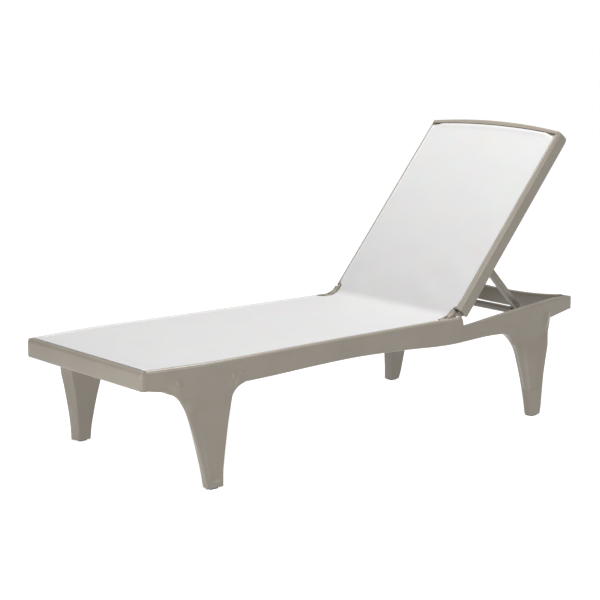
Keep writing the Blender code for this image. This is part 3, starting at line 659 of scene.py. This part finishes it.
def top_bar_rings():
    """Section in (s, n) carried across; lip from the slot line to the arch's outer line."""
    xs = np.concatenate([np.linspace(-0.3213, -0.2477, 10), np.linspace(-0.2475, 0.2475, 41),
                         np.linspace(0.2477, 0.3213, 10)])
    rings = []
    for x in xs:
        top = BACK_LENGTH + BACK_ARCH * float(crown(x))
        slot = float(slot_line(x)) + 0.0005
        low = 0.742 if abs(x) < 0.2476 else SHELF_END + 0.0006
        groove = BACK_SHELF - 0.0085
        lip_start = slot - 0.0045
        profile = rounded([(low, -0.018, 0.003), (top, -0.018, 0.006), (top, 0.004, 0.006),
                           (top, BACK_FRONT, 0.0062), (slot, BACK_FRONT, 0.0015),
                           (slot, groove, 0.0006), (lip_start, groove, 0.0006),
                           (lip_start, BACK_SHELF - 0.0006, 0.0006),
                           (min(low, lip_start - 0.0006), BACK_SHELF - 0.0006, 0.001)], 6)
        rings.append(np.c_[np.full(len(profile), x), profile])
    return lean_back(np.array(rings))


bar = piece_mesh("backrest_head_bar", *carry(top_bar_rings()), taupe)
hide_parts("backrest_top_bar")
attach(bar, "backrest")

# ---- Backrest lower brace -----------------------------------------------------------
# Behind the cloth, low on the backrest, a curved brace holds the two sides apart. It is
# let into the flanges and sags towards the hinge in the middle.


def lower_brace_rings():
    """Section in (s, n) carried across; upper edge 0.180 + 0.058 (x / 0.248)^2."""
    rings = []
    for x in np.linspace(-FLANGE_X + 0.0004, FLANGE_X - 0.0004, 41):
        share = abs(x) / FLANGE_X
        upper = 0.180 + 0.058 * share**2
        lower = upper - 0.030 - 0.008 * share
        profile = rounded([(lower, 0.0004, 0.004), (upper, 0.0004, 0.004),
                           (upper, 0.0222, 0.004), (lower, 0.0222, 0.004)])
        rings.append(np.c_[np.full(len(profile), x), profile])
    return lean_back(np.array(rings))


brace = piece_mesh("backrest_low_member", *carry(lower_brace_rings()), taupe)
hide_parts("backrest_lower_brace")
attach(brace, "backrest")

# ---- Sling --------------------------------------------------------------------------
# Seat and back are one stretched sheet of coated polyester mesh, woven white. Its hemmed
# edges run over a welt in each rail and its ends over rods. The real cloth bends freely at the
# hinge; here it is one fixed shape, bent round the hinge at the recline angle.
SEAT_FRONT, BEND_RADIUS, CLOTH = -0.9570, 0.060, 0.0009
SEAT_LINE, BACK_LINE = 0.3962, 0.0239
TAIL_HALF, SIDE_HALF = 0.3012, 0.3177


def sling_mesh():
    """Sheet as a function of u (across, -1 to 1) and v (along, in metres from the front).

    Side view: flat at the seat line, an arc of 60 mm radius through the recline angle, and
    flat again behind the backrest's front. Half width: the rail's curve less its lip, drawn
    in to pass the hinge guides, then the backrest's width. Height: a hem that rises over the
    welt in the last 5 mm, a shallow sag, soft pull marks that fan out of the bend, and a
    low swelling before the cloth dives into the top bar's slot."""
    lean = RECLINE
    corner = HINGE_Y - BACK_LINE * math.sin(lean) + (SEAT_LINE - HINGE_Z - BACK_LINE
                                                     * math.cos(lean)) / math.tan(lean)
    tangent = BEND_RADIUS * math.tan(lean / 2)
    flat = corner - tangent - SEAT_FRONT
    bend = BEND_RADIUS * lean
    start_s = (SEAT_LINE - HINGE_Z - BACK_LINE * math.cos(lean)) / math.sin(lean) + tangent
    u = np.concatenate([np.linspace(-1, -0.965, 11)[:-1], np.linspace(-0.965, 0.965, 91),
                        np.linspace(0.965, 1, 11)[1:]])
    end = SLOT_END - start_s
    t = np.concatenate([np.linspace(0, 0.008, 9), np.linspace(0.008, flat - 0.10, 96)[1:],
                        np.linspace(flat - 0.10, flat + bend + 0.10, 74)[1:],
                        np.linspace(flat + bend + 0.10, flat + bend + end, 82)[1:]])
    uu, tt = np.meshgrid(u, t)
    past = tt - flat - bend
    seat_y = SEAT_FRONT + tt
    half = half_width(seat_y) - LIP - 0.0004
    half = half + (TAIL_HALF - half) * ease((seat_y - 0.284) / 0.026)
    widen = ease((past + start_s - 0.031) / 0.012)
    half = np.where(past > 0, TAIL_HALF + (SIDE_HALF - TAIL_HALF) * widen, half)
    x = uu * half
    slot = slot_line(x) - 0.0014 - 0.0048 * ease((np.abs(x) - 0.285) / 0.034)
    reach = np.where(past > 0, past * (slot - start_s) / end, past)
    angle = np.clip((tt - flat) / bend, 0, 1) * lean
    y = np.where(tt < flat, seat_y, corner - tangent + BEND_RADIUS * np.sin(angle)
                 + np.maximum(reach, 0) * math.cos(lean))
    z = SEAT_LINE + np.where(tt < flat, 0, BEND_RADIUS * (1 - np.cos(angle))
                             + np.maximum(reach, 0) * math.sin(lean))
    hem = np.clip((half - np.abs(x)) / 0.0052, 0, 1)
    welted = 1 - ease((seat_y - 0.278) / 0.01) * (1 - ease((past + start_s - 0.040) / 0.01))
    raise_by = 0.0036 * np.sqrt(np.clip(1 - hem**2, 0, 1)) * welted
    raise_by = np.where(past > 0, raise_by * 0.5, raise_by)
    middle = 1 - uu**2
    seat_share = np.clip(tt / flat, 0, 1)
    sag = -0.0022 * middle * np.sin(np.pi * seat_share) * (tt < flat)
    back_share = np.clip(past / end, 0, 1)
    sag = sag - 0.0009 * middle * np.sin(np.pi * back_share) * (past > 0)
    near = np.exp(-((past - 0.10) / 0.13)**2) * (past > -0.02)
    fan = np.sin(38 * past + 20 * np.abs(x) - 3) + 0.6 * np.sin(61 * np.abs(x) - 27 * past + 1)
    pull = 0.00055 * near * fan * ease((1 - np.abs(uu)) / 0.12)
    front = np.exp(-((seat_y + 0.90) / 0.05)**2) * np.sin(46 * x) * 0.00025
    rise = (0.0036 + 0.0022 * ease((1 - np.abs(uu)) / 0.06)) \
        * (1 - ease((seat_y + 0.945) / 0.055))
    crest = (0.0021 * ease((past - end + 0.022) / 0.016) * (past > 0)
             * (1 - ease((np.abs(x) - 0.265) / 0.025)))
    lift = np.maximum(raise_by, rise) + crest + sag + pull + front * (tt < flat) * middle
    dive = np.clip(1 - tt / 0.0042, 0, 1)
    y = y - lift * np.sin(angle)
    z = z + lift * np.cos(angle) - 0.0070 * (1 - np.sqrt(1 - dive**2))
    points = np.stack((x, y, z), 2)
    top_dive = np.clip(1 - (slot - start_s - reach) / 0.004, 0, 1) * (past > 0)
    deep = 0.0012 + 0.0030 * ease((np.abs(x) - 0.27) / 0.03)
    sunk = deep * (1 - np.sqrt(np.maximum(1 - top_dive**2, 0)))
    points[..., 1] += math.sin(lean) * sunk
    points[..., 2] -= math.cos(lean) * sunk
    return points, np.stack((x, tt), 2)


def woven_mesh(name, colour, let_through):
    """Coated open weave on the cloth's own UV map in metres: yarns 1.5 mm apart crossing over
    and under, as the height |sin u| + |sin v| + sin u sin v; painted shade that darkens the
    colour in the hollows between yarns, a slow drift of colour, and a share of the light let
    through to the other side."""
    material, tree, shader = new_material(name)
    place = tree.nodes.new("ShaderNodeUVMap")
    place.uv_map = "cloth"
    split = node(tree, "ShaderNodeSeparateXYZ", Vector=place.outputs["UV"])
    waves = []
    for axis in ("X", "Y"):
        phase = node(tree, "ShaderNodeMath", operation="MULTIPLY", i0=split.outputs[axis],
                     i1=math.pi / 0.0015)
        waves.append(node(tree, "ShaderNodeMath", operation="SINE", i0=phase.outputs[0]))
    cross = node(tree, "ShaderNodeMath", operation="MULTIPLY", i0=waves[0].outputs[0],
                 i1=waves[1].outputs[0])
    folds = [node(tree, "ShaderNodeMath", operation="ABSOLUTE", i0=w.outputs[0]) for w in waves]
    both = node(tree, "ShaderNodeMath", operation="ADD", i0=folds[0].outputs[0],
                i1=folds[1].outputs[0])
    height = node(tree, "ShaderNodeMath", operation="MULTIPLY_ADD", i0=cross.outputs[0], i1=0.7,
                  i2=both.outputs[0])
    level = node(tree, "ShaderNodeMapRange", Value=height.outputs[0])
    level.inputs["From Min"].default_value, level.inputs["From Max"].default_value = 0.0, 2.4
    drift = node(tree, "ShaderNodeTexNoise", Vector=place.outputs["UV"], Scale=9.0, Detail=2.0)
    # Painted shade: this ramp darkens the colour to 80% where the weave lies low, between the
    # yarns.
    painted_yarn_shade = tree.nodes.new("ShaderNodeValToRGB")
    painted_yarn_shade.color_ramp.elements[0].color = (*[c * 0.80 for c in colour], 1)
    painted_yarn_shade.color_ramp.elements[1].color = (*colour, 1)
    painted_yarn_shade.color_ramp.elements[1].position = 0.5
    tree.links.new(level.outputs["Result"], painted_yarn_shade.inputs["Fac"])
    shade = tree.nodes.new("ShaderNodeMix")
    shade.data_type, shade.blend_type = "RGBA", "MULTIPLY"
    shade.inputs["Factor"].default_value = 0.10
    tree.links.new(painted_yarn_shade.outputs["Color"], shade.inputs["A"])
    tree.links.new(drift.outputs["Color"], shade.inputs["B"])
    tree.links.new(shade.outputs["Result"], shader.inputs["Base Color"])
    relief = node(tree, "ShaderNodeBump", Strength=0.35, Distance=0.0002,
                  Height=level.outputs["Result"])
    tree.links.new(relief.outputs["Normal"], shader.inputs["Normal"])
    shader.inputs["Roughness"].default_value = 0.50
    shader.inputs["Specular IOR Level"].default_value = 0.5
    shader.inputs["Sheen Weight"].default_value = 0.25
    through = tree.nodes.new("ShaderNodeBsdfTranslucent")
    through.inputs["Color"].default_value = (*colour, 1)
    blend = tree.nodes.new("ShaderNodeMixShader")
    blend.inputs[0].default_value = let_through
    tree.links.new(shader.outputs[0], blend.inputs[1])
    tree.links.new(through.outputs[0], blend.inputs[2])
    tree.links.new(blend.outputs[0], tree.nodes["Material Output"].inputs["Surface"])
    return material


white_weave = woven_mesh("white_woven_mesh", (0.450, 0.447, 0.445), let_through=0.12)


def cloth_object(name, points, uv, thick=None):
    """Grid of points made a mesh with its own UV map named cloth; with thick, a Solidify
    modifier gives the sheet its two sides and is made final."""
    rows, columns = points.shape[:2]
    ids = np.arange(rows * columns).reshape(rows, columns)
    faces = np.stack((ids[:-1, :-1], ids[:-1, 1:], ids[1:, 1:], ids[1:, :-1]), 2).reshape(-1, 4)
    mesh = bpy.data.meshes.new(name)
    mesh.from_pydata(points.reshape(-1, 3).tolist(), [], faces.tolist())
    layer = mesh.uv_layers.new(name="cloth")
    layer.data.foreach_set("uv", uv.reshape(-1, 2)[faces.ravel()].astype(np.float32).ravel())
    mesh.materials.append(white_weave)
    mesh.shade_smooth()
    piece = placed(name, mesh)
    if thick:
        shell = piece.modifiers.new("cloth", "SOLIDIFY")
        shell.thickness, shell.offset, shell.use_even_offset = thick, 0, True
        piece.data = bpy.data.meshes.new_from_object(piece.evaluated_get(
            bpy.context.evaluated_depsgraph_get()))
        piece.modifiers.clear()
    return piece


sling_points, sling_uv = sling_mesh()
sling = cloth_object("sling_cloth", sling_points, sling_uv, CLOTH)

# ---- Welts and rods of the sling ----------------------------------------------------
# A round welt is sewn into each long hem and sits in the rail's corner under the cloth. At
# the foot and the head the hem holds a steel rod, pressed down into the end bar's slot.


def rod_rings(path, radius, around=12):
    """Circle of the radius carried along the path, square to it at every point."""
    path = np.asarray(path, float)
    run = np.gradient(path, axis=0)
    run /= np.linalg.norm(run, axis=1)[:, None]
    side = np.cross(run, (0.0, 0.3, 1.0))
    side /= np.linalg.norm(side, axis=1)[:, None]
    up = np.cross(side, run)
    angle = np.linspace(0, 2 * np.pi, around, endpoint=False)
    return (path[:, None] + radius * (np.cos(angle)[None, :, None] * side[:, None]
                                      + np.sin(angle)[None, :, None] * up[:, None]))


def brushed(name, colour, rough=0.32):
    """Bright-drawn steel: fine lines round the piece in roughness and relief."""
    material, tree, shader = new_material(name)
    place = tree.nodes.new("ShaderNodeTexCoord").outputs["Object"]
    stretch = node(tree, "ShaderNodeMapping", Vector=place, Scale=(2500.0, 60.0, 60.0))
    lines = node(tree, "ShaderNodeTexNoise", Vector=stretch.outputs["Vector"], Scale=1.0,
                 Detail=3.0)
    satin = node(tree, "ShaderNodeMapRange", Value=lines.outputs["Fac"])
    satin.inputs["To Min"].default_value = rough - 0.08
    satin.inputs["To Max"].default_value = rough + 0.10
    tree.links.new(satin.outputs["Result"], shader.inputs["Roughness"])
    relief = node(tree, "ShaderNodeBump", Strength=0.2, Distance=0.00005,
                  Height=lines.outputs["Fac"])
    tree.links.new(relief.outputs["Normal"], shader.inputs["Normal"])
    shader.inputs["Base Color"].default_value = (*colour, 1)
    shader.inputs["Metallic"].default_value = 1.0
    return material


steel = brushed("drawn_steel", (0.56, 0.55, 0.53))
WELT = 0.0018
seat_run = np.linspace(-0.951, 0.280, 60)
back_run = np.linspace(0.048, 0.785, 40)
for sign, word in ((1, "right"), (-1, "left")):
    seat_path = np.stack((sign * (half_width(seat_run) - LIP - 0.0026), seat_run,
                          np.full_like(seat_run, SEAT_SHELF + 0.0002 + WELT)), 1)
    back_path = lean_back(np.stack((np.full_like(back_run, sign * (LIP_X - 0.0028)), back_run,
                                    np.full_like(back_run, BACK_SHELF + 0.0002 + WELT)), 1))
    for path, part, body in ((seat_path, "seat", "frame"), (back_path, "back", "backrest")):
        rings = rod_rings(path, WELT)
        uv = np.stack(np.meshgrid(np.linspace(0, 0.0113, 13), np.arange(len(path)) * 0.02), 2)
        welt = cloth_object(f"{part}_hem_welt_{word}",
                            np.concatenate((rings, rings[:, :1]), 1), uv)
        ends = bmesh.new()
        ends.from_mesh(welt.data)
        bmesh.ops.remove_doubles(ends, verts=ends.verts, dist=1e-6)
        bmesh.ops.holes_fill(ends, edges=ends.edges)
        bmesh.ops.recalc_face_normals(ends, faces=ends.faces)
        ends.to_mesh(welt.data)
        ends.free()
        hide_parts(f"{part}_welt_{word}")
        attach(welt, body)

front_path = [(x, SEAT_FRONT - 0.0024, 0.3885) for x in np.linspace(-0.316, 0.316, 25)]
across = np.linspace(-0.308, 0.308, 41)
head_path = lean_back(np.stack((across, slot_line(across) - 0.0028,
                                np.full_like(across, BACK_SHELF - 0.0035)), 1))
for name, node_name, path, body in (("sling_rod_foot", "seat_front_rod", front_path, "frame"),
                                    ("sling_rod_head", "back_top_rod", head_path, "backrest")):
    rod = piece_mesh(name, *carry(rod_rings(path, 0.0016)), steel)
    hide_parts(node_name)
    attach(rod, body)

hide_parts("seat_sling", "back_sling")
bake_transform(sling)

# ---- Prop: arms, foot bar and pins --------------------------------------------------
# Two flat resin arms hang from the backrest's flanges on steel pins. A resin bar ties
# their feet together, and a pin through each foot drops into the notches of the rack.
PROP_PIVOT, PROP_LENGTH, ARM_R = 0.252, 0.268, 0.011
PROP_ANGLE = math.asin(PROP_PIVOT * math.sin(RECLINE) / PROP_LENGTH)
PIVOT_Y = HINGE_Y + PROP_PIVOT * math.cos(RECLINE)
PIVOT_Z = HINGE_Z + PROP_PIVOT * math.sin(RECLINE)
TIE_HALF, TIE_TOP, TIE_BASE = 0.011, 0.0055, 0.0285


def swing_down(outline):
    """From the prop's frame (x, along the arm, across it) to the lounger's: turned by the
    prop's angle below the horizontal about its pivot."""
    points = np.asarray(outline, float)
    a, b = points[..., 1], points[..., 2]
    c, s = math.cos(PROP_ANGLE), math.sin(PROP_ANGLE)
    return np.stack((points[..., 0], PIVOT_Y + a * c + b * s, PIVOT_Z - a * s + b * c), -1)


arm_line = np.concatenate([arc((0, 0), ARM_R, 90, 270, 15), [(0.09, -0.0098), (0.18, -0.0098)],
                           arc((PROP_LENGTH, 0), ARM_R, -90, 90, 15),
                           [(0.18, 0.0098), (0.09, 0.0098)]])
for sign, word in ((1, "right"), (-1, "left")):
    arm = swing_down(prism(arm_line, 0.2623, 0.2923, 0.0030)) * (sign, 1, 1)
    arm = piece_mesh(f"prop_strut_{word}", *carry(arm), taupe, 30)
    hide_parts(f"prop_arm_{word}")
    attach(arm, "prop")

foot_y = PIVOT_Y + PROP_LENGTH * math.cos(PROP_ANGLE)
foot_z = PIVOT_Z - PROP_LENGTH * math.sin(PROP_ANGLE)
section = rounded([(foot_y - TIE_HALF, foot_z - TIE_BASE, 0.006),
                   (foot_y + TIE_HALF, foot_z - TIE_BASE, 0.006),
                   (foot_y + TIE_HALF, foot_z - TIE_TOP, 0.005),
                   (foot_y - TIE_HALF, foot_z - TIE_TOP, 0.005)])
rings = [np.c_[np.full(len(section), x), section] for x in np.linspace(-0.2620, 0.2620, 15)]
tie = piece_mesh("prop_tie_bar", *carry(rings), taupe)
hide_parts("prop_foot_bar")
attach(tie, "prop")

# ---- Notch racks --------------------------------------------------------------------
# Each rack is a toothed resin strip screwed to the rail's rear shelf with two steel
# screws. Its four rounded notches set how far the backrest leans.
NOTCHES = (0.634, 0.685, 0.735, 0.780)
RACK_X, RACK_ENDS, TOOTH_TOP, NOTCH_Z = (0.312, 0.340), (0.612, 0.8125), 0.378, 0.366


def rack_outline():
    """Strip in (y, z) with a notch at each station: its flanks lean in, its bed is round."""
    first, last = RACK_ENDS
    corners = [(last, REAR_SHELF + 0.0003, 0.001), (first, REAR_SHELF + 0.0003, 0.001),
               (first, TOOTH_TOP, 0.003)]
    for y in NOTCHES:
        corners += [(y - 0.011, TOOTH_TOP, 0.002), (y - 0.0065, NOTCH_Z, 0.005),
                    (y + 0.0065, NOTCH_Z, 0.005), (y + 0.011, TOOTH_TOP, 0.002)]
    return rounded(corners + [(last, TOOTH_TOP, 0.003)], 4)


for sign, word in ((1, "right"), (-1, "left")):
    rack = piece_mesh(f"rack_strip_{word}",
                      *carry(prism(rack_outline(), *RACK_X, 0.0010) * (sign, 1, 1)), taupe, 30)
    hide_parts(f"notch_rack_{word}")
    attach(rack, "frame")

# ---- Steel pins and screws ----------------------------------------------------------
# Hinge pins, prop pins and pan-head screws are drawn steel, as packed; they take the
# brushed finish.
for name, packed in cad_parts.items():
    if "pin" in name.split("_") or "screw" in name:
        packed.data.materials.clear()
        packed.data.materials.append(steel)

# ---- Floor, light and camera --------------------------------------------------------
# A pale seamless floor that glows white, under a large overhead light and an even white
# surround. Two lamps beside it and a low one before the foot bar lift the resin's faces.
FLOOR_HALF = 150
floor = bpy.data.meshes.new("floor")
floor.from_pydata([(-FLOOR_HALF, -FLOOR_HALF, 0), (FLOOR_HALF, -FLOOR_HALF, 0),
                   (FLOOR_HALF, FLOOR_HALF, 0), (-FLOOR_HALF, FLOOR_HALF, 0)], [], [(0, 1, 2, 3)])
paper, _, shader = new_material("studio_floor")
for socket, value in (("Base Color", (0.20, 0.20, 0.20, 1)), ("Roughness", 0.9),
                      ("Specular IOR Level", 0.1), ("Emission Color", (1, 1, 1, 1)),
                      ("Emission Strength", 0.92)):
    shader.inputs[socket].default_value = value
floor.materials.append(paper)
floor = placed("floor", floor)

surround = bpy.data.worlds.new("studio")
surround.use_nodes = True
surround.node_tree.nodes["Background"].inputs["Color"].default_value = (1.0, 1.0, 1.0, 1)
surround.node_tree.nodes["Background"].inputs["Strength"].default_value = 0.42
bpy.context.scene.world = surround
for name, spot, aim, size, power in (
        ("overhead", (0.2, 0.5, 4.1), (0, 0, 0.3), 3.4, 275.0),
        ("side_key", (2.5, -1.1, 3.2), (0.2, 0, 0.35), 1.2, 22.0),
        ("side_glow", (3.7, 0.7, 2.0), (0.36, -0.2, 0.33), 1.1, 22.0),
        ("foot_fill", (0.6, -2.3, 0.34), (0, -0.9, 0.37), 1.0, 21.0)):
    light = bpy.data.lights.new(name, "AREA")
    light.shape, light.size, light.energy = "DISK", size, power
    lamp = placed(name, light)
    lamp.location = spot
    lamp.rotation_euler = (Vector(aim) - Vector(spot)).to_track_quat("-Z", "Y").to_euler()

lens = bpy.data.cameras.new("camera")
lens.lens, lens.sensor_width, lens.clip_end = 106.117, 36.0, 400.0
camera = placed("camera", lens)
camera.location = (4.68988, -3.95992, 1.60221)
camera.rotation_euler = (math.radians(79.4646), 0.0, math.radians(50.3066))
bpy.context.scene.camera = camera
bpy.context.scene.view_settings.view_transform = "Standard"
